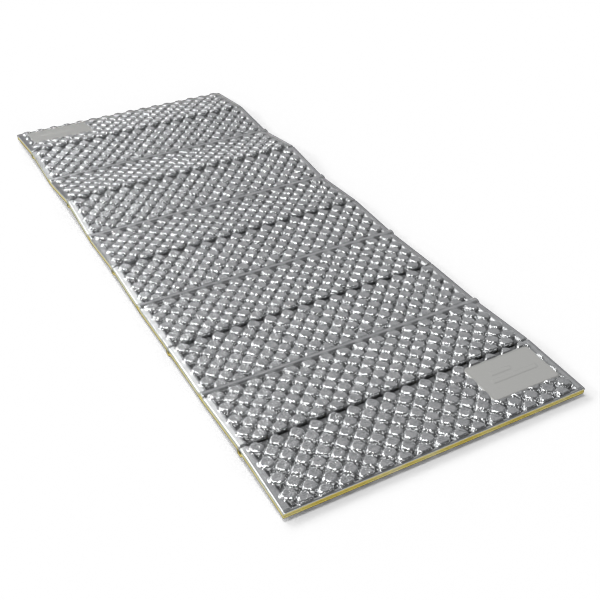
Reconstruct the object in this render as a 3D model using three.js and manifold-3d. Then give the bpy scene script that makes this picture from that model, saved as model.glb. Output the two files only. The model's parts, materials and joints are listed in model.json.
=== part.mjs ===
// Folding foam sleeping pad: ten panels of moulded closed-cell foam under a silver film.
// Thin creases of the same sheet join the panels, by turns along the bottom and along the
// top face, so that the pad folds up like an accordion. Millimetres, +Z up. X runs across
// the pad and Y along it, with panel 1 at +Y. The rest pose is the shallow zigzag of a pad
// that was just unfolded on level ground.
import * as THREE from 'three';
import { mergeVertices } from 'three/addons/utils/BufferGeometryUtils.js';
import Module from 'manifold-3d';

// Driving dimensions
const PANEL_COUNT = 10;
const PAD_WIDTH = 510;
const PANEL_PITCH = 130;        // from one fold line to the next
const PAD_THICKNESS = 20;       // over the bumps of both faces
const SIDE_BAND = 11;           // thin band along each long side, beside the bumps
const END_BAND = 3;             // the same band at the two free ends
const BAND_BOTTOM = 7.5;
const BAND_TOP = 15.5;          // top of the film on the band
const CORE_CHAMFER = 3;         // where the bumped core falls away to its side bands
const FILM_THICKNESS = 0.3;
const GAP = 0.3;                // kept between pieces that touch
const FOLD_CLEARANCE = 0.25;    // each panel ends this far short of its fold line
const HINGE_OFFSET = 0.25;      // hinge line's distance outside the face that it folds on
const CREASE_REACH = 4.7;       // a crease's reach to each side of its fold line
const CREASE_THICKNESS = 1.5;
const CREASE_SIDE_INSET = 1;    // how far a crease stops short of the pad's sides
// How steeply the two panels at each ridge lean up to it, from the far end, in degrees.
const RIDGE_LEANS = [5.3, 7.3, 3.1, 1.1, 2.65];

// Two smooth label fields are pressed into the bumps, one by each free end.
const LABEL_FIELDS = [
  { name: 'label_field_far', panel: 1, x: [-234, -98], fromFarLine: [10, 84] },
  { name: 'label_field_near', panel: 10, x: [115, 240], fromFarLine: [12, 92] },
];
const FIELD_CORNER = 7;
const FIELD_FLOOR = 16;         // pocket floor in the foam
const FIELD_THICKNESS = 1;
const FIELD_RIM_WIDTH = 2.5;
const FIELD_RIM_HEIGHT = 0.6;

const FOAM_YELLOW = 0xcdbf4a;
const FILM_SILVER = 0xb4b6b8;
const FIELD_GREY = 0xa0a09c;

// Derived sizes
const FOAM_TOP = PAD_THICKNESS - FILM_THICKNESS - GAP;
const FOAM_BAND_TOP = BAND_TOP - FILM_THICKNESS - GAP;
const CREASE_SEAT = CREASE_THICKNESS + GAP;      // depth of the step that a crease lies in
const SEAT_REACH = CREASE_REACH + GAP;
const CORE_HALF_WIDTH = PAD_WIDTH / 2 - SIDE_BAND;
const OVERSHOOT = 10;                            // of cutting solids beyond what they cut

const wasm = await Module();
wasm.setup();

// A closed three.js geometry as a solid that can be joined and cut.
function toSolid(geometry) {
  const bare = geometry.index ? geometry.toNonIndexed() : geometry.clone();
  bare.deleteAttribute('normal');
  bare.deleteAttribute('uv');
  const merged = mergeVertices(bare, 1e-4);
  return new wasm.Manifold(new wasm.Mesh({
    numProp: 3,
    vertProperties: new Float32Array(merged.attributes.position.array),
    triVerts: new Uint32Array(merged.index.array),
  }));
}

function toGeometry(solid) {
  const mesh = solid.getMesh();
  const geometry = new THREE.BufferGeometry();
  geometry.setAttribute('position', new THREE.BufferAttribute(mesh.vertProperties, 3));
  geometry.setIndex(new THREE.BufferAttribute(mesh.triVerts, 1));
  const flat = geometry.toNonIndexed();
  flat.computeVertexNormals();
  return flat;
}

function join(solids) {
  return solids.reduce((whole, next) => whole.add(next));
}

function box(x, y, z) {
  const geometry = new THREE.BoxGeometry(x[1] - x[0], y[1] - y[0], z[1] - z[0]);
  geometry.translate((x[0] + x[1]) / 2, (y[0] + y[1]) / 2, (z[0] + z[1]) / 2);
  return toSolid(geometry);
}

// A flat outline pushed along its third axis. basis holds the directions that the
// outline's own x, its own y and the push take in the panel.
function prism(shape, depth, basis) {
  const geometry = new THREE.ExtrudeGeometry(shape, { depth, bevelEnabled: false, curveSegments: 6 });
  geometry.applyMatrix4(new THREE.Matrix4().makeBasis(...basis));
  return geometry;
}

const ACROSS_X = [new THREE.Vector3(0, 1, 0), new THREE.Vector3(0, 0, 1), new THREE.Vector3(1, 0, 0)];
const TOWARDS_NEAR = [new THREE.Vector3(1, 0, 0), new THREE.Vector3(0, 0, 1), new THREE.Vector3(0, -1, 0)];
const UPWARDS = [new THREE.Vector3(1, 0, 0), new THREE.Vector3(0, 1, 0), new THREE.Vector3(0, 0, 1)];

function roundedRectangle(x, y, radius) {
  const shape = new THREE.Shape();
  shape.moveTo(x[0] + radius, y[0]);
  shape.lineTo(x[1] - radius, y[0]);
  shape.absarc(x[1] - radius, y[0] + radius, radius, -Math.PI / 2, 0);
  shape.lineTo(x[1], y[1] - radius);
  shape.absarc(x[1] - radius, y[1] - radius, radius, 0, Math.PI / 2);
  shape.lineTo(x[0] + radius, y[1]);
  shape.absarc(x[0] + radius, y[1] - radius, radius, Math.PI / 2, Math.PI);
  shape.lineTo(x[0], y[0] + radius);
  shape.absarc(x[0] + radius, y[0] + radius, radius, Math.PI, 1.5 * Math.PI);
  return shape;
}

// In a panel's own frame the far fold line is y = 0, the near one y = -PANEL_PITCH and
// the underside z = 0. An odd panel has a valley behind it and a ridge in front.
function panelEnds(number) {
  const kinds = number % 2 ? ['valley', 'ridge'] : ['ridge', 'valley'];
  if (number === 1) {
    kinds[0] = 'free';
  }
  if (number === PANEL_COUNT) {
    kinds[1] = 'free';
  }
  return [
    { kind: kinds[0], line: 0, inward: -1 },
    { kind: kinds[1], line: -PANEL_PITCH, inward: 1 },
  ];
}

// The stretch of y between two distances in from one end.
function fromEnd(end, distances) {
  return distances.map((d) => end.line + end.inward * d).sort((a, b) => a - b);
}

// The stretch of y that is left when each end is held back by inset(end).
function between(ends, inset) {
  return [ends[1].line + inset(ends[1]), ends[0].line - inset(ends[0])];
}

// The bumped middle of a panel as a chamfered block, swollen by grow on its outside.
function coreBlock(ends, grow, foldInset) {
  const half = CORE_HALF_WIDTH + grow;
  const [low, high] = [-grow, FOAM_TOP + grow];
  const section = new THREE.Shape([
    new THREE.Vector2(-half + CORE_CHAMFER, low),
    new THREE.Vector2(half - CORE_CHAMFER, low),
    new THREE.Vector2(half, low + CORE_CHAMFER),
    new THREE.Vector2(half, high - CORE_CHAMFER),
    new THREE.Vector2(half - CORE_CHAMFER, high),
    new THREE.Vector2(-half + CORE_CHAMFER, high),
    new THREE.Vector2(-half, high - CORE_CHAMFER),
    new THREE.Vector2(-half, low + CORE_CHAMFER),
  ]);
  const y = between(ends, (end) => (end.kind === 'free' ? END_BAND - grow : foldInset(end)));
  const geometry = prism(section, y[1] - y[0], TOWARDS_NEAR);
  geometry.translate(0, y[1], 0);
  return toSolid(geometry);
}

function fieldPocket(field) {
  const x = [field.x[0] - GAP, field.x[1] + GAP];
  const y = [-field.fromFarLine[1] - GAP, -field.fromFarLine[0] + GAP];
  const geometry = prism(roundedRectangle(x, y, FIELD_CORNER + GAP), PAD_THICKNESS, UPWARDS);
  geometry.translate(0, 0, FIELD_FLOOR);
  return toSolid(geometry);
}

function labelField(field) {
  const y = [-field.fromFarLine[1], -field.fromFarLine[0]];
  const plate = prism(roundedRectangle(field.x, y, FIELD_CORNER), FIELD_THICKNESS, UPWARDS);
  const rimShape = roundedRectangle(field.x, y, FIELD_CORNER);
  rimShape.holes.push(roundedRectangle(
    [field.x[0] + FIELD_RIM_WIDTH, field.x[1] - FIELD_RIM_WIDTH],
    [y[0] + FIELD_RIM_WIDTH, y[1] - FIELD_RIM_WIDTH],
    FIELD_CORNER - FIELD_RIM_WIDTH,
  ));
  const rim = prism(rimShape, FIELD_THICKNESS + FIELD_RIM_HEIGHT, UPWARDS);
  const solid = toSolid(plate).add(toSolid(rim));
  return toGeometry(solid).translate(0, 0, FIELD_FLOOR + GAP);
}

function fieldsOn(number) {
  return LABEL_FIELDS.filter((field) => field.panel === number);
}

// Foam of one panel: the bumped core, the thin band around it, and a lip at each fold
// that carries the band to the level of the crease there, less the crease's seat.
function foamPanel(number) {
  const ends = panelEnds(number);
  const wholeWidth = [-PAD_WIDTH / 2, PAD_WIDTH / 2];
  const foldInset = () => FOLD_CLEARANCE;
  const pieces = [
    coreBlock(ends, 0, foldInset),
    box(
      wholeWidth,
      between(ends, (end) => (end.kind === 'free' ? 0 : FOLD_CLEARANCE)),
      [BAND_BOTTOM, FOAM_BAND_TOP],
    ),
  ];
  const cuts = fieldsOn(number).map(fieldPocket);
  for (const end of ends) {
    if (end.kind === 'free') {
      continue;
    }
    const atTop = end.kind === 'valley';
    const lipHeights = atTop
      ? [BAND_BOTTOM, PAD_THICKNESS - CREASE_SEAT]
      : [CREASE_SEAT, FOAM_BAND_TOP];
    const seatHeights = atTop
      ? [PAD_THICKNESS - CREASE_SEAT, PAD_THICKNESS + OVERSHOOT]
      : [-OVERSHOOT, CREASE_SEAT];
    pieces.push(box(wholeWidth, fromEnd(end, [FOLD_CLEARANCE, SEAT_REACH]), lipHeights));
    cuts.push(box(
      [-PAD_WIDTH, PAD_WIDTH],
      fromEnd(end, [-OVERSHOOT, SEAT_REACH]),
      seatHeights,
    ));
  }
  return toGeometry(cuts.reduce((whole, cut) => whole.subtract(cut), join(pieces)));
}

// Film of one panel: it lies over the core and turns out flat onto the bands. It stops
// short of a valley, where the crease's own film takes over, and runs up to a ridge.
function filmPanel(number) {
  const ends = panelEnds(number);
  const inset = (end) => (end.kind === 'valley' ? SEAT_REACH + GAP : FOLD_CLEARANCE);
  const brim = box(
    [-PAD_WIDTH / 2, PAD_WIDTH / 2],
    between(ends, (end) => (end.kind === 'free' ? 0 : inset(end))),
    [BAND_TOP - FILM_THICKNESS, BAND_TOP],
  );
  const under = box(
    [-PAD_WIDTH, PAD_WIDTH],
    [-2 * PANEL_PITCH, PANEL_PITCH],
    [-PAD_THICKNESS, BAND_TOP - FILM_THICKNESS],
  );
  const outer = brim.add(coreBlock(ends, GAP + FILM_THICKNESS, inset));
  const inner = coreBlock(ends, GAP, () => -OVERSHOOT);
  const cuts = [inner, under, ...fieldsOn(number).map(fieldPocket)];
  return toGeometry(cuts.reduce((whole, cut) => whole.subtract(cut), outer));
}

function hingeHeight(number) {
  return number % 2 ? -HINGE_OFFSET : PAD_THICKNESS + HINGE_OFFSET;
}

// A panel's turn about X: an odd panel climbs towards the near end, an even one falls.
function panelTurn(number) {
  const lean = THREE.MathUtils.degToRad(RIDGE_LEANS[Math.floor((number - 1) / 2)]);
  return number % 2 ? -lean : lean;
}

function turned(y, z, angle) {
  return new THREE.Vector2(
    y * Math.cos(angle) - z * Math.sin(angle),
    y * Math.sin(angle) + z * Math.cos(angle),
  );
}

// The crease over fold number: a thin strip bent as the two panels lean. Its own frame
// has the hinge line at y = z = 0.
function crease(number) {
  const [farTurn, nearTurn] = [panelTurn(number), panelTurn(number + 1)];
  const side = number % 2 ? 1 : -1;
  const levels = [HINGE_OFFSET, HINGE_OFFSET + CREASE_THICKNESS].map((d) => side * d);
  const middle = (farTurn + nearTurn) / 2;
  const stretch = 1 / Math.cos((farTurn - nearTurn) / 2);
  const [inner, outer] = levels;
  const outline = [
    turned(CREASE_REACH, inner, farTurn),
    turned(0, inner * stretch, middle),
    turned(-CREASE_REACH, inner, nearTurn),
    turned(-CREASE_REACH, outer, nearTurn),
    turned(0, outer * stretch, middle),
    turned(CREASE_REACH, outer, farTurn),
  ];
  const width = PAD_WIDTH - 2 * CREASE_SIDE_INSET;
  return prism(new THREE.Shape(outline), width, ACROSS_X).translate(-width / 2, 0, 0);
}

function material(color, metalness, roughness) {
  return new THREE.MeshStandardMaterial({ color, metalness, roughness });
}

function twoDigits(number) {
  return String(number).padStart(2, '0');
}

function named(name, geometry, look) {
  const mesh = new THREE.Mesh(geometry, look);
  mesh.name = name;
  return mesh;
}

const pad = new THREE.Group();
let panelOrigin = new THREE.Vector2(0, 0);
for (let number = 1; number <= PANEL_COUNT; number += 1) {
  const turn = panelTurn(number);
  const panel = new THREE.Group();
  panel.add(named(`foam_panel_${twoDigits(number)}`, foamPanel(number), material(FOAM_YELLOW, 0, 0.85)));
  panel.add(named(`film_panel_${twoDigits(number)}`, filmPanel(number), material(FILM_SILVER, 0.9, 0.35)));
  for (const field of fieldsOn(number)) {
    panel.add(named(field.name, labelField(field), material(FIELD_GREY, 0.8, 0.45)));
  }
  panel.position.set(0, panelOrigin.x, panelOrigin.y);
  panel.rotation.x = turn;
  pad.add(panel);
  if (number === PANEL_COUNT) {
    break;
  }
  const height = hingeHeight(number);
  const hinge = panelOrigin.clone().add(turned(-PANEL_PITCH, height, turn));
  const color = number % 2 ? FOAM_YELLOW : FILM_SILVER;
  const strip = named(`crease_${twoDigits(number)}`, crease(number), material(color, 0.2, 0.6));
  strip.position.set(0, hinge.x, hinge.y);
  pad.add(strip);
  panelOrigin = hinge.sub(turned(0, height, panelTurn(number + 1)));
}

// The origin is the middle of the ground under the pad.
pad.updateMatrixWorld(true);
const bounds = new THREE.Box3().setFromObject(pad, true);
pad.position.set(0, -(bounds.min.y + bounds.max.y) / 2, -bounds.min.z);

export default pad;
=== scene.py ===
"""Looks of the folding foam sleeping pad: bumped silver film over yellow foam, panel by panel."""
import json
import math

import bpy
import numpy as np
from mathutils import Matrix, Vector


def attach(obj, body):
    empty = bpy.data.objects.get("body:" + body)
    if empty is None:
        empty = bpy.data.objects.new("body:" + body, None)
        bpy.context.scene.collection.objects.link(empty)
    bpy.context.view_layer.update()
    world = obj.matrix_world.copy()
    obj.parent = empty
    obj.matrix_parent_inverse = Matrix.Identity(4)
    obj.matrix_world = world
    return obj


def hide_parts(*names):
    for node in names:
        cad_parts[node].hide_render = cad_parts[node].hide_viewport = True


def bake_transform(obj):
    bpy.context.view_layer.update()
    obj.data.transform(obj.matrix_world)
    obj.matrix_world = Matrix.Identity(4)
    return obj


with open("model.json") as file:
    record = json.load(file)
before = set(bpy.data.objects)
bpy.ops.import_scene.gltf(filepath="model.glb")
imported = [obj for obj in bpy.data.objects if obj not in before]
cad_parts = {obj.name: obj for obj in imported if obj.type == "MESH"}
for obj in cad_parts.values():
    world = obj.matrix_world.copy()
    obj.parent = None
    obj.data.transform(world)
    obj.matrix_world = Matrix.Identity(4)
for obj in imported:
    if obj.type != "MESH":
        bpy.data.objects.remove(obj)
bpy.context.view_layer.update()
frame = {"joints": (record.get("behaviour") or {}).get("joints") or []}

# ---------------------------------------------------------------- sizes, in millimetres
SQRT2 = math.sqrt(2)
PANELS = 10
HALF_WIDTH = 255.0
PITCH = 130.0  # fold line to fold line
THICKNESS = 20.0
HINGE_OFFSET = 0.25
FOLD_GAP = 0.3  # half the closed width of a slit

# the bumps of the silver side
CELL = 31.2  # they stand in a square lattice with one more in each square's middle
FIRST_ROW = 12.0  # from the far fold line to the first row of bumps
FIRST_COLUMN = -234.0
ROWS_OF_EACH_KIND = 4
BUMP_TOP = 19.3
BUMP_REACH = 11.4
BUMP_LIMIT = THICKNESS - 0.05  # no bump is higher, so that closed panels don't meet
PIT = 13.0  # between the bumps
DISH_DEPTH, DISH_RADIUS = 0.5, 7.0  # each bump's top is a little hollow
RIM_HEIGHT, RIM_RADIUS = 0.12, 7.6
SHOULDER_RADIUS = 8.4
WRINKLE_UP, WRINKLE_OUT = 0.20, 0.22  # wrinkles of a bump's shoulder and of its outline
SURFACE_SETS = 200  # random numbers per panel, at least one for each of its bumps

# the bands along the long sides
BAND = 15.5  # at the outer edge
BAND_SLOPE = 0.11
BAND_FROM, BAND_FULL = 237.0, 245.5
BEAD_HEIGHT, BEAD_PLACE = 0.45, 249.6  # a thin raised line along each band
SIDE_ROLL, END_ROLL = 2.2, 1.2  # radii of the film's outer edges

# the folds
CREASE_TOP = 19.1
CROWN_HEIGHT, CROWN_REACH = 0.85, 3.8  # a valley's crease is crowned along the fold line
CREASE_REACH = 5.5
CREASE_SEAT_TOP = 17.0  # where a valley's crease lies on the foam
CREASE_SEAT_BOTTOM = 2.4  # where a ridge's crease lies under the foam
SLIT_DEPTH = 3.0  # the film turns down into a ridge's slit to this height
BUMP_ROLL, PIT_ROLL = 2.2, 4.0  # radii of the bumps and of the pits over a ridge's slit

# the foam
UNDERSIDE_BAND = 7.2
UNDERSIDE_TIP = 0.15
TIP_RADIUS, TIP_REACH = 6.4, 11.4
SIDE_LIP = 5.6  # lowest point of the foam along the long sides
END_LIP = 4.2  # and along the free ends
FOAM_INSET = 0.6  # the foam's outline lies inside the film's
FOAM_LID = 12.0  # hidden top of the foam, below every pit
FOAM_SIDE_TOP, FOAM_END_TOP = BAND - 1.9, BAND - 1.6
SLIT_LID = 4.0  # hidden top of the foam at a ridge's slit
# from the underside up, as a share of the foam's height and how far the cut edge lies inward
CUT_EDGE = ((0.12, -0.3), (0.42, 0.0), (0.47, 1.4), (0.55, 1.4), (0.60, 0.0), (0.90, 0.0))

FILM_STEP = 1.04  # mesh spacing
FOAM_STEP = 3.0

# the label fields; a bar is its left and right end and its row, in shares of the half sizes
FIELDS = {
    1: {
        "name": "label_far",
        "node": "label_field_far",
        "x": (-234.0, -98.0),
        "s": (10.0, 84.0),
        "bars": ((-0.70, 0.45, -0.1),),
    },
    10: {
        "name": "label_near",
        "node": "label_field_near",
        "x": (115.0, 240.0),
        "s": (12.0, 92.0),
        "bars": ((-0.50, 0.10, -0.26), (-0.62, 0.72, 0.12)),
    },
}
FIELD_CORNER = 7.0
FIELD_FLOOR = 16.0
FIELD_TOP = 17.3
GROOVE_DEPTH, GROOVE_OFFSET, GROOVE_WIDTH = 4.4, 2.6, 1.9  # beside the far field

# ---------------------------------------------------------------- looks, light and camera
SHADE_FROM, SHADE_FULL = 17.6, 12.8  # heights between which painted shade darkens the film's colour into the pits
# grey of the studio by height, from level to straight up
STUDIO = (
    (0.0, 1.0), (0.07, 0.48), (0.17, 0.24), (0.3, 0.19),
    (0.5, 0.35), (0.68, 0.42), (0.84, 0.28), (1.0, 0.10),
)
STUDIO_BLUE = 0.005
FLOOR_REACH, FLOOR_GAP = 12.0, 0.0005  # metres
LIGHTS = {  # place, target and size in metres, and watts
    "key": ((-1.5, 2.4, 3.0), (0, 0, 0), (2.6, 1.8), 48),
    "overhead": ((-0.5, -0.5, 2.8), (0, 0, 0), (0.6, 0.45), 27),
    "side": ((-2.8, 0.6, 1.9), (0, 0, 0), (1.4, 0.5), 16),
    "back": ((0.25, 3.1, 3.0), (0, 0, 0), (0.5, 2.4), 3.4),
    "fill": ((-0.9, -3.2, 0.7), (0, -0.4, 0), (3.0, 0.9), 18),
}
CAMERA_AZIMUTH, CAMERA_ELEVATION, CAMERA_ROLL = -28.54, 34.78, -0.34  # degrees
CAMERA_DISTANCE, CAMERA_TARGET = 1.596, (0.0044, -0.2261, 0.0)  # metres
CAMERA_LENS, CAMERA_SENSOR = 55.33, 36  # millimetres


# ---------------------------------------------------------------- where the panels are
def fold_is_ridge(fold):
    return fold % 2 == 1


def hinge_height(fold):
    return -HINGE_OFFSET if fold_is_ridge(fold) else THICKNESS + HINGE_OFFSET


HINGES = {
    int(joint["name"].split("_")[1]): np.array(joint["pos_m"][1:]) * 1000
    for joint in frame["joints"]
}


def panel_turn(panel):
    """A panel's turn about X, from the hinge lines at its two ends."""
    if panel == 1:
        return -panel_turn(2)
    if panel == PANELS:
        return -panel_turn(PANELS - 1)
    in_world = HINGES[panel] - HINGES[panel - 1]
    in_panel = np.array([-PITCH, hinge_height(panel) - hinge_height(panel - 1)])
    turn = math.atan2(in_world[1], in_world[0]) - math.atan2(in_panel[1], in_panel[0])
    return (turn + math.pi) % (2 * math.pi) - math.pi


def turned(y, z, angle):
    return y * math.cos(angle) - z * math.sin(angle), y * math.sin(angle) + z * math.cos(angle)


def panel_origin(panel):
    turn = panel_turn(panel)
    if panel == 1:
        at_hinge = turned(-PITCH, hinge_height(1), turn)
        return HINGES[1] - np.array(at_hinge)
    return HINGES[panel - 1] - np.array(turned(0, hinge_height(panel - 1), turn))


PLACES = {n: (panel_origin(n), panel_turn(n)) for n in range(1, PANELS + 1)}


def placed(panel, x, s, z):
    """Points of a panel, given across, along from its far fold line and up, in the row frame in metres."""
    origin, turn = PLACES[panel]
    y, up = turned(-np.asarray(s, float), np.asarray(z, float), turn)
    x, y, up = np.broadcast_arrays(np.asarray(x, float), y + origin[0], up + origin[1])
    return np.stack([x, y, up], -1) / 1000


# ---------------------------------------------------------------- the moulded surface
def smooth(low, high, t):
    t = np.clip((t - low) / (high - low), 0, 1)
    return t * t * (3 - 2 * t)


def mixed(a, b, share):
    return a + (b - a) * share


def bell(t):
    return np.exp(-(t**2))


def nearest_sites(x, s, underside):
    """The nearest bump's distance, bearing and number, and the place seen from its middle.

    Bumps of the underside stand below the pits of the top.
    """
    best = None
    for kind in (0, 1):
        shift = CELL / 2 if kind != underside else 0.0
        columns = 15 if shift else 16
        across = np.clip(np.round((x - FIRST_COLUMN - shift) / CELL), 0, columns - 1)
        first = FIRST_ROW + (CELL / 2 if kind else 0.0)
        along = np.clip(np.round((s - first) / CELL), 0, ROWS_OF_EACH_KIND - 1)
        dx = x - FIRST_COLUMN - shift - across * CELL
        ds = s - first - along * CELL
        # the bumps are squarish pillows that stand on a corner
        r = (np.abs((dx + ds) / SQRT2) ** 3 + np.abs((dx - ds) / SQRT2) ** 3) ** (1 / 3)
        number = (across + 17 * (2 * along + kind)).astype(int)
        now = (r, np.arctan2(ds, dx), number, dx, ds)
        if best is None:
            best = now
        else:
            closer = r < best[0]
            best = tuple(np.where(closer, a, b) for a, b in zip(now, best))
    return best


def box_distance(x, s, field):
    """Signed distance to a rounded rectangle, negative inside."""
    (x0, x1), (s0, s1) = field["x"], field["s"]
    qx = np.abs(x - (x0 + x1) / 2) - (x1 - x0) / 2 + FIELD_CORNER
    qs = np.abs(s - (s0 + s1) / 2) - (s1 - s0) / 2 + FIELD_CORNER
    outside = np.hypot(np.maximum(qx, 0), np.maximum(qs, 0))
    return outside + np.minimum(np.maximum(qx, qs), 0) - FIELD_CORNER


def end_kinds(panel):
    """What is at a panel's far and near end."""
    far = "free" if panel == 1 else "ridge" if fold_is_ridge(panel - 1) else "valley"
    near = "free" if panel == PANELS else "ridge" if fold_is_ridge(panel) else "valley"
    return far, near


def edge_roll(distance, radius):
    """How far a surface has fallen at that distance from an edge that it rolls over."""
    d = np.clip(radius - distance, 0, radius)
    return radius - np.sqrt(radius**2 - d**2)


def band_share(x):
    """How far a place belongs to the smooth bands along the pad's two long sides."""
    return smooth(BAND_FROM, BAND_FULL, np.abs(x))


def bumped(panel, x, s, base):
    """The bumps of a panel, each a little different, on a base between them."""
    r, bearing, number, dx, ds = nearest_sites(x, s, 0)
    rng = np.random.default_rng(100 + panel)
    lobes = rng.integers(5, 10, SURFACE_SETS)[number]
    phase = rng.uniform(0, 2 * math.pi, SURFACE_SETS)[number]
    lift = rng.normal(0, 0.2, SURFACE_SETS)[number]
    lean_x = rng.normal(0, 0.03, SURFACE_SETS)[number]
    lean_s = rng.normal(0, 0.03, SURFACE_SETS)[number]
    wrinkle = np.sin(lobes * bearing + phase) + 0.6 * np.sin((2 * lobes + 1) * bearing + 2.3 * phase)
    outline = r + WRINKLE_OUT * wrinkle * np.clip(r / 8, 0, 1)
    rise = (1 - np.clip(outline / BUMP_REACH, 0, 1) ** 6) ** 0.75
    z = base + (BUMP_TOP + lift + lean_x * dx + lean_s * ds - base) * rise
    z = z + WRINKLE_UP * wrinkle * bell((r - SHOULDER_RADIUS) / 1.5)
    z = z + RIM_HEIGHT * bell((r - RIM_RADIUS) / 0.8)
    dish = DISH_DEPTH * np.clip(1 - (r / DISH_RADIUS) ** 2, 0, 1) ** 1.2
    return np.minimum(z - dish, BUMP_LIMIT)


def with_field(panel, x, s, z):
    """A panel's top with the pocket of its label field pressed into it."""
    field = FIELDS[panel]
    distance = box_distance(x, s, field)
    z = mixed(z, np.maximum(z, FIELD_TOP - 0.4), smooth(3.5, 0.5, distance))
    z = mixed(z, FIELD_FLOOR, smooth(0.2, -1.0, distance))
    if panel == 1:
        low, high = field["s"]
        along = smooth(low - 2, low + 2, s) * smooth(high + 2, high - 2, s)
        groove = bell((x - field["x"][0] + GROOVE_OFFSET) / GROOVE_WIDTH)
        z = z - GROOVE_DEPTH * along * groove
    return z


def top_height(panel, x, s):
    x, s = np.broadcast_arrays(np.asarray(x, float), np.asarray(s, float))
    side = np.abs(x)
    in_band = band_share(x)
    base = mixed(PIT, BAND + BAND_SLOPE * (HALF_WIDTH - side), in_band)
    far, near = end_kinds(panel)
    for kind, d in ((far, s), (near, PITCH - s)):
        if kind == "free":
            base = np.maximum(base, mixed(BAND, PIT, smooth(2.5, 9, d)))
        elif kind == "ridge":
            base = base - edge_roll(d - FOLD_GAP, PIT_ROLL) * (1 - in_band)
    z = bumped(panel, x, s, base) + BEAD_HEIGHT * bell(x - BEAD_PLACE)
    for kind, d in ((far, s), (near, PITCH - s)):
        if kind == "valley":
            crown = CROWN_HEIGHT * np.clip(1 - (d / CROWN_REACH) ** 2, 0, 1)
            z = mixed(CREASE_TOP + crown, z, smooth(3.7, 8.6, d))
        elif kind == "ridge":
            z = z - edge_roll(d - FOLD_GAP, BUMP_ROLL)
        else:
            z = mixed(np.minimum(z, BAND), z, smooth(2.2, 4.6, d)) - edge_roll(d, END_ROLL)
    z = z - edge_roll(HALF_WIDTH - side, SIDE_ROLL)
    return with_field(panel, x, s, z) if panel in FIELDS else z


def underside_height(panel, x, s):
    x, s = np.broadcast_arrays(np.asarray(x, float), np.asarray(s, float))
    r = nearest_sites(x, s, 1)[0]
    z = mixed(UNDERSIDE_TIP, UNDERSIDE_BAND, smooth(TIP_RADIUS, TIP_REACH, r))
    far, near = end_kinds(panel)
    for kind, d in ((far, s), (near, PITCH - s)):
        if kind == "ridge":
            z = mixed(0.3, z, smooth(3.6, 9.0, d))
        elif kind == "valley":
            z = z + edge_roll(d - FOLD_GAP, 2.0)
        else:
            z = mixed(END_LIP, z, smooth(2.0, 9.0, d)) + edge_roll(d - FOAM_INSET, 1.0)
    from_side = HALF_WIDTH - np.abs(x)
    z = mixed(z, np.minimum(z, SIDE_LIP), smooth(4.0, 1.8, from_side))
    return z + edge_roll(np.maximum(from_side - FOAM_INSET, 0), 1.0)


# ---------------------------------------------------------------- meshes
def stepped(low, high, step, fine=(0.0, 0.35, 0.9, 1.7, 2.8)):
    """Places from low to high, closer together at both ends."""
    count = int(round((high - low - 2 * fine[-1]) / step))
    middle = np.linspace(low + fine[-1], high - fine[-1], count + 1)[1:-1]
    return np.concatenate([low + np.array(fine), middle, high - np.array(fine[::-1])])


def grid_faces(rows, columns, flip=False):
    at = np.arange(rows * columns).reshape(rows, columns)
    quads = np.stack([at[:-1, :-1], at[:-1, 1:], at[1:, 1:], at[1:, :-1]], -1).reshape(-1, 4)
    return quads[:, ::-1] if flip else quads


def made(name, points, faces, looks, look_of_face=None):
    mesh = bpy.data.meshes.new(name)
    mesh.from_pydata(points.reshape(-1, 3).tolist(), [], faces.tolist())
    for look in looks:
        mesh.materials.append(look)
    if look_of_face is not None:
        mesh.polygons.foreach_set("material_index", look_of_face.astype(np.int32))
    mesh.polygons.foreach_set("use_smooth", np.ones(len(faces), bool))
    mesh.update()
    piece = bpy.data.objects.new(name, mesh)
    bpy.context.scene.collection.objects.link(piece)
    return piece


X_FILM = stepped(-HALF_WIDTH, HALF_WIDTH, FILM_STEP)
X_FOAM = stepped(-HALF_WIDTH, HALF_WIDTH, FOAM_STEP)


def with_hem(z, hem_low, hem_high, axis):
    """A height field with one more row at each end of an axis.

    The row hangs by a depth, or if that is None, down into a ridge's slit.
    """
    first, last = np.take(z, [0], axis), np.take(z, [-1], axis)
    first = np.full_like(first, SLIT_DEPTH) if hem_low is None else first - hem_low
    last = np.full_like(last, SLIT_DEPTH) if hem_high is None else last - hem_high
    return np.concatenate([first, z, last], axis)


def set_look(piece, painted_pit_shade, flat):
    for name, values in (("painted_pit_shade", painted_pit_shade), ("flat", flat)):
        attribute = piece.data.attributes.new(name, "FLOAT", "POINT")
        attribute.data.foreach_set("value", np.ascontiguousarray(values, np.float32).ravel())


def tell_look(piece, panel, x, s, z):
    """Hand the film's look two numbers per point: the painted shade that darkens its colour where it lies
    deep between bumps, and how smooth it is.
    """
    # painted shade: none on the bump tops, full deep in the pits, and little on the smooth bands and
    # creases
    painted_pit_shade = smooth(SHADE_FROM, SHADE_FULL, z)
    flat = np.broadcast_to(smooth(242, 246, np.abs(x)), z.shape).copy()
    for kind, d in zip(end_kinds(panel), (s, PITCH - s)):
        if kind == "valley":
            flat = np.maximum(flat, smooth(6.5, 4.0, d))
        elif kind == "free":
            flat = np.maximum(flat, smooth(3.5, 2.0, d))
    set_look(piece, painted_pit_shade * (1 - 0.9 * flat), flat)


def film_piece(panel, look):
    far, near = end_kinds(panel)
    inset = {"valley": CREASE_REACH, "ridge": FOLD_GAP, "free": 0.0}
    hem = {"valley": 1.2, "ridge": None, "free": 1.0}
    s = stepped(inset[far], PITCH - inset[near], FILM_STEP)
    z = top_height(panel, X_FILM[None, :], s[:, None])
    z = with_hem(with_hem(z, 1.0, 1.0, 1), hem[far], hem[near], 0)
    s = np.concatenate([s[:1], s, s[-1:]])
    x = np.concatenate([X_FILM[:1], X_FILM, X_FILM[-1:]])
    points = placed(panel, x[None, :], s[:, None], z)
    piece = made(f"film_{panel:02d}", points, grid_faces(len(s), len(x), True), [look])
    tell_look(piece, panel, x[None, :], s[:, None], z)
    return piece


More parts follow.
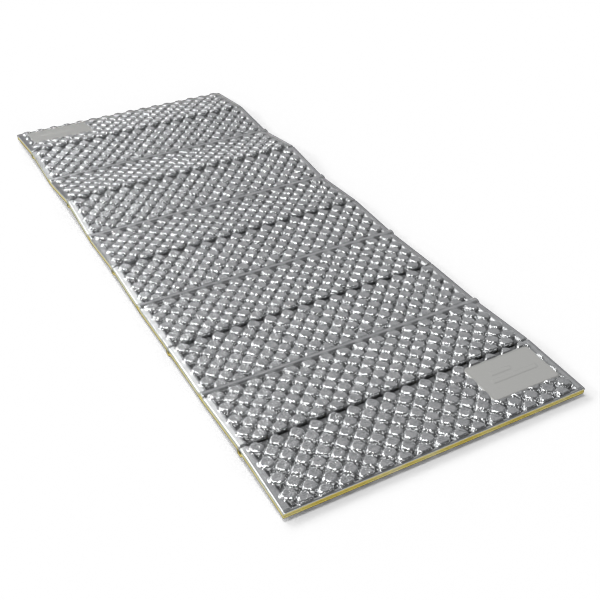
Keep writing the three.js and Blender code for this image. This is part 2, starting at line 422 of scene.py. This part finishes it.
def foam_profile(panel):
    """Stations along a panel, with the underside and lid that the foam has at each of them."""
    far, near = end_kinds(panel)
    inset = {"valley": FOLD_GAP, "ridge": 3 * FOLD_GAP, "free": FOAM_INSET}
    inner = stepped(
        CREASE_REACH if far != "free" else inset[far],
        PITCH - (CREASE_REACH if near != "free" else inset[near]),
        FOAM_STEP,
    )
    s = list(inner)
    tags = [""] * len(s)
    if far != "free":
        s = [inset[far], inner[0]] + s
        tags = [far, far] + tags
    if near != "free":
        s = s + [inner[-1], PITCH - inset[near]]
        tags = tags + [near, near]
    return np.array(s), tags


def foam_heights(panel, x, s, tags):
    """Underside and lid of the foam."""
    low = underside_height(panel, x[None, :], s[:, None])
    lid = np.minimum(FOAM_LID, top_height(panel, x[None, :], s[:, None]) - 1.5)
    lid[:, [0, -1]] = FOAM_SIDE_TOP
    for row, tag in enumerate(tags):
        if tag == "ridge":
            low[row] = CREASE_SEAT_BOTTOM
            lid[row] = SLIT_LID
        elif tag == "valley":
            lid[row] = CREASE_SEAT_TOP
    for row in (0, -1):
        if tags[row] == "":
            lid[row] = FOAM_END_TOP
    return low, lid


def foam_piece(panel, look):
    s, tags = foam_profile(panel)
    x = np.clip(X_FOAM, FOAM_INSET - HALF_WIDTH, HALF_WIDTH - FOAM_INSET)
    low, lid = foam_heights(panel, x, s, tags)
    rows, columns = low.shape
    at = np.arange(rows * columns).reshape(rows, columns)
    gx, gs = np.broadcast_arrays(x[None, :], s[:, None])
    points = [placed(panel, gx, gs, low).reshape(-1, 3), placed(panel, gx, gs, lid).reshape(-1, 3)]
    faces = [grid_faces(rows, columns), grid_faces(rows, columns, True) + rows * columns]
    # the walls run once around the outline, with a groove between the two lips of the cut foam
    around = np.concatenate([at[0, :-1], at[:-1, -1], at[-1, :0:-1], at[:0:-1, 0]])
    inward_x = np.zeros((rows, columns))
    inward_x[:, 0], inward_x[:, -1] = 1, -1
    inward_s = np.zeros((rows, columns))
    inward_s[0], inward_s[-1] = float(tags[0] == ""), -float(tags[-1] == "")
    edge_x, edge_s, edge_low, edge_lid, in_x, in_s = (
        grid.ravel()[around] for grid in (gx, gs, low, lid, inward_x, inward_s)
    )
    rings = [around]
    for share, dent in CUT_EDGE:
        z = mixed(edge_low, edge_lid, share)
        rings.append(np.arange(len(around)) + sum(len(part) for part in points))
        points.append(placed(panel, edge_x + dent * in_x, edge_s + dent * in_s, z))
    rings.append(around + rows * columns)
    for lower, upper in zip(rings[:-1], rings[1:]):
        faces.append(np.stack([lower, upper, np.roll(upper, -1), np.roll(lower, -1)], -1))
    return made(f"foam_{panel:02d}", np.concatenate(points), np.concatenate(faces), [look])


def crease_piece(fold, looks):
    """The strip over a fold: its outer face carries on from the two panels' own surface."""
    ridge = fold_is_ridge(fold)
    reach = np.array([0.0, 0.5, 1.1, 1.8, 2.6, 3.5, 4.5, CREASE_REACH])
    step = X_FOAM if ridge else X_FILM
    height = underside_height if ridge else top_height
    back = CREASE_SEAT_BOTTOM if ridge else CREASE_SEAT_TOP
    faces_of = []
    for inner in (False, True):
        halves = []
        for panel, s in ((fold, PITCH - reach[::-1]), (fold + 1, reach)):
            z = height(panel, step[None, :], s[:, None])
            if ridge:
                z = np.minimum(z, back - 0.4)
            halves.append(placed(panel, step[None, :], s[:, None], np.full_like(z, back) if inner else z))
        middle = (halves[0][-1] + halves[1][0]) / 2
        faces_of.append(np.concatenate([halves[0][:-1], middle[None], halves[1][1:]]))
    outer, inner = faces_of
    rows, columns = outer.shape[:2]
    at = np.arange(rows * columns).reshape(rows, columns)
    over = at + rows * columns
    faces = [grid_faces(rows, columns, not ridge), grid_faces(rows, columns, ridge) + rows * columns]
    for line, line_over, flip in (
        (at[0], over[0], ridge),
        (at[-1], over[-1], not ridge),
        (at[:, 0], over[:, 0], not ridge),
        (at[:, -1], over[:, -1], ridge),
    ):
        wall = np.stack([line[:-1], line[1:], line_over[1:], line_over[:-1]], -1)
        faces.append(wall[:, ::-1] if flip else wall)
    look_of_face = np.concatenate([np.full(len(f), int(i > 0)) for i, f in enumerate(faces)])
    points = np.concatenate([outer.reshape(-1, 3), inner.reshape(-1, 3)])
    piece = made(f"crease_{fold:02d}_strip", points, np.concatenate(faces), looks, look_of_face)
    set_look(piece, np.zeros(len(points)), np.ones(len(points)))
    return piece


def label_piece(panel, look):
    field = FIELDS[panel]
    x = np.arange(field["x"][0] - 0.5, field["x"][1] + 0.51, 1.0)
    s = np.arange(field["s"][0] - 0.5, field["s"][1] + 0.51, 1.0)
    gx, gs = np.meshgrid(x, s)
    distance = box_distance(gx, gs, field)
    z = FIELD_TOP - 0.8 * smooth(-0.5, 0.5, distance)
    z = z + 0.5 * smooth(0.9, 0.0, np.abs(distance + 2.2))
    half_x = (field["x"][1] - field["x"][0]) / 2
    half_s = (field["s"][1] - field["s"][0]) / 2
    u = (gx - sum(field["x"]) / 2) / half_x
    v = (gs - sum(field["s"]) / 2) / half_s
    for left, right, row in field["bars"]:
        across = np.maximum(left - u, u - right) * half_x
        along = (np.abs(v - row) - 0.10) * half_s
        z = z + 0.4 * smooth(0.8, -0.8, np.maximum(across, along))
    points = placed(panel, gx, gs, z)
    return made(field["name"], points, grid_faces(len(s), len(x), True), [look])


# ---------------------------------------------------------------- materials
def material(name, color, metallic, roughness):
    made_of = bpy.data.materials.new(name)
    made_of.use_nodes = True
    shader = made_of.node_tree.nodes["Principled BSDF"]
    shader.inputs["Base Color"].default_value = (*color, 1)
    shader.inputs["Metallic"].default_value = metallic
    shader.inputs["Roughness"].default_value = roughness
    return made_of, made_of.node_tree.nodes, made_of.node_tree.links, shader


def noise(nodes, links, coordinates, scale, detail, roughness=0.5):
    node = nodes.new("ShaderNodeTexNoise")
    node.inputs["Scale"].default_value = scale
    node.inputs["Detail"].default_value = detail
    node.inputs["Roughness"].default_value = roughness
    links.new(coordinates.outputs["Object"], node.inputs["Vector"])
    return node.outputs["Fac"]


def ramp(nodes, links, value, stops):
    node = nodes.new("ShaderNodeValToRGB")
    elements = node.color_ramp.elements
    elements[0].position, elements[0].color = stops[0][0], (*stops[0][1], 1)
    elements[1].position, elements[1].color = stops[-1][0], (*stops[-1][1], 1)
    for position, color in stops[1:-1]:
        elements.new(position).color = (*color, 1)
    links.new(value, node.inputs["Fac"])
    return node.outputs["Color"]


def bump(nodes, links, height, strength, distance):
    node = nodes.new("ShaderNodeBump")
    node.inputs["Strength"].default_value = strength
    node.inputs["Distance"].default_value = distance
    links.new(height, node.inputs["Height"])
    return node.outputs["Normal"]


def number_at_point(nodes, name):
    node = nodes.new("ShaderNodeAttribute")
    node.attribute_name = name
    return node.outputs["Fac"]


def combined(nodes, links, how, *values):
    node = nodes.new("ShaderNodeMath")
    node.operation = how
    for socket, value in zip(node.inputs, values):
        if isinstance(value, float):
            socket.default_value = value
        else:
            links.new(value, socket)
    return node.outputs["Value"]


def film_look():
    look, nodes, links, shader = material("silver_film", (0.62, 0.63, 0.64), 1.0, 0.19)
    where = nodes.new("ShaderNodeTexCoord")
    painted_pit_shade, flat = number_at_point(nodes, "painted_pit_shade"), number_at_point(nodes, "flat")
    cloud = noise(nodes, links, where, 60, 3)
    patchy = ramp(nodes, links, cloud, [(0.3, (0.54, 0.55, 0.555)), (0.7, (0.68, 0.69, 0.695))])
    # painted shade: the film's colour is darkened where it lies deep in the pits between bumps
    shades = [(0.0, (1, 1, 1)), (0.5, (0.74, 0.74, 0.74)), (1.0, (0.44, 0.44, 0.44))]
    shade = ramp(nodes, links, painted_pit_shade, shades)
    tint = nodes.new("ShaderNodeMix")
    tint.data_type, tint.blend_type = "RGBA", "MULTIPLY"
    tint.inputs[0].default_value = 1.0
    links.new(patchy, tint.inputs[6])
    links.new(shade, tint.inputs[7])
    links.new(tint.outputs[2], shader.inputs["Base Color"])
    folds = nodes.new("ShaderNodeTexVoronoi")
    folds.feature = "DISTANCE_TO_EDGE"
    folds.inputs["Scale"].default_value = 230
    links.new(where.outputs["Object"], folds.inputs["Vector"])
    fine = noise(nodes, links, where, 420, 2, 0.6)
    crinkle = combined(nodes, links, "MULTIPLY_ADD", folds.outputs["Distance"], 1.6, fine)
    # smooth places keep a little of the crinkle
    share = combined(nodes, links, "ADD", combined(nodes, links, "SUBTRACT", 1.0, flat), 0.12)
    height = combined(nodes, links, "MULTIPLY", crinkle, share)
    links.new(bump(nodes, links, height, 0.5, 0.0007), shader.inputs["Normal"])
    return look


def label_look():
    look, nodes, links, shader = material("label_film", (0.76, 0.76, 0.73), 0.9, 0.34)
    where = nodes.new("ShaderNodeTexCoord")
    grain = noise(nodes, links, where, 1500, 2)
    links.new(bump(nodes, links, grain, 0.15, 0.0002), shader.inputs["Normal"])
    return look


def foam_look():
    look, nodes, links, shader = material("yellow_foam", (0.84, 0.70, 0.16), 0.0, 0.75)
    where = nodes.new("ShaderNodeTexCoord")
    cloud = noise(nodes, links, where, 18, 3)
    stops = [(0.3, (0.76, 0.61, 0.11)), (0.52, (0.81, 0.69, 0.19)), (0.72, (0.82, 0.76, 0.44))]
    links.new(ramp(nodes, links, cloud, stops), shader.inputs["Base Color"])
    cells = noise(nodes, links, where, 1800, 2)
    links.new(bump(nodes, links, cells, 0.3, 0.0003), shader.inputs["Normal"])
    return look


# ---------------------------------------------------------------- camera, light and floor
def make_camera():
    azimuth, elevation, roll = map(math.radians, (CAMERA_AZIMUTH, CAMERA_ELEVATION, CAMERA_ROLL))
    back = Vector((
        math.sin(azimuth) * math.cos(elevation),
        -math.cos(azimuth) * math.cos(elevation),
        math.sin(elevation),
    ))
    right = Vector((0, 0, 1)).cross(back).normalized()
    up = back.cross(right)
    tilted_right = math.cos(roll) * right + math.sin(roll) * up
    tilted_up = back.cross(tilted_right)
    data = bpy.data.cameras.new("camera")
    data.sensor_width = CAMERA_SENSOR
    data.lens = CAMERA_LENS
    camera = bpy.data.objects.new("camera", data)
    rotation = Matrix((tilted_right, tilted_up, back)).transposed().to_4x4()
    place = Vector(CAMERA_TARGET) + back * CAMERA_DISTANCE
    camera.matrix_world = Matrix.Translation(place) @ rotation
    bpy.context.scene.collection.objects.link(camera)
    bpy.context.scene.camera = camera


def area_light(name, location, target, size, energy):
    data = bpy.data.lights.new(name, "AREA")
    data.shape = "RECTANGLE"
    data.size, data.size_y = size
    data.energy = energy
    light = bpy.data.objects.new(name, data)
    light.location = location
    light.rotation_euler = (Vector(target) - light.location).to_track_quat("-Z", "Y").to_euler()
    bpy.context.scene.collection.objects.link(light)


def make_floor():
    mesh = bpy.data.meshes.new("floor")
    corners = [(x * FLOOR_REACH, y * FLOOR_REACH, 0) for x, y in ((-1, -1), (1, -1), (1, 1), (-1, 1))]
    mesh.from_pydata(corners, [], [(0, 1, 2, 3)])
    look, nodes, links, shader = material("floor_white", (0.9, 0.9, 0.9), 0.0, 0.9)
    shader.inputs["Specular IOR Level"].default_value = 0.0
    # from below the floor can be seen through, so that the underside shows
    one_sided = nodes.new("ShaderNodeMixShader")
    links.new(nodes.new("ShaderNodeNewGeometry").outputs["Backfacing"], one_sided.inputs[0])
    links.new(shader.outputs[0], one_sided.inputs[1])
    links.new(nodes.new("ShaderNodeBsdfTransparent").outputs[0], one_sided.inputs[2])
    links.new(one_sided.outputs[0], nodes["Material Output"].inputs["Surface"])
    mesh.materials.append(look)
    floor = bpy.data.objects.new("floor", mesh)
    floor.location.z = -FLOOR_GAP
    floor.is_shadow_catcher = True
    bpy.context.scene.collection.objects.link(floor)


def make_studio():
    world = bpy.data.worlds.new("studio")
    world.use_nodes = True
    nodes, links = world.node_tree.nodes, world.node_tree.links
    direction = nodes.new("ShaderNodeTexCoord")
    parts = nodes.new("ShaderNodeSeparateXYZ")
    links.new(direction.outputs["Generated"], parts.inputs["Vector"])
    greys = [(height, (grey, grey, min(1, grey + STUDIO_BLUE))) for height, grey in STUDIO]
    # the studio is brighter behind the pad than in front of it
    behind = nodes.new("ShaderNodeMapRange")
    for socket, value in (("From Min", -0.4), ("From Max", 0.4), ("To Min", 0.4), ("To Max", 1.35)):
        behind.inputs[socket].default_value = value
    links.new(parts.outputs["Y"], behind.inputs["Value"])
    background = nodes["Background"]
    links.new(ramp(nodes, links, parts.outputs["Z"], greys), background.inputs["Color"])
    links.new(behind.outputs["Result"], background.inputs["Strength"])
    # the camera sees a plain white sweep behind the shadows
    sweep = nodes.new("ShaderNodeBackground")
    sweep.inputs["Color"].default_value = (1, 1, 1, 1)
    either = nodes.new("ShaderNodeMixShader")
    links.new(nodes.new("ShaderNodeLightPath").outputs["Is Camera Ray"], either.inputs[0])
    links.new(background.outputs[0], either.inputs[1])
    links.new(sweep.outputs[0], either.inputs[2])
    links.new(either.outputs[0], nodes["World Output"].inputs["Surface"])
    bpy.context.scene.world = world
    for name, (place, target, size, watts) in LIGHTS.items():
        area_light(name, place, target, size, watts)
    bpy.context.scene.view_settings.view_transform = "Standard"


# ---------------------------------------------------------------- the pad, panel by panel
def told(piece, panel, node):
    """Attach a piece to the body it rides on, and hide the node that it replaces."""
    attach(piece, f"panel_{panel:02d}")
    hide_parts(node)


make_camera()
make_floor()
make_studio()

film, foam, label = film_look(), foam_look(), label_look()
for panel in range(1, PANELS + 1):
    told(film_piece(panel, film), panel, f"film_panel_{panel:02d}")
    piece = foam_piece(panel, foam)
    told(piece, panel, f"foam_panel_{panel:02d}")
    if panel in FIELDS:
        told(label_piece(panel, label), panel, FIELDS[panel]["node"])

for fold in range(1, PANELS):
    ridge = fold_is_ridge(fold)
    piece = crease_piece(fold, [foam, foam] if ridge else [film, foam])
    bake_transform(piece)
    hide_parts(f"crease_{fold:02d}")
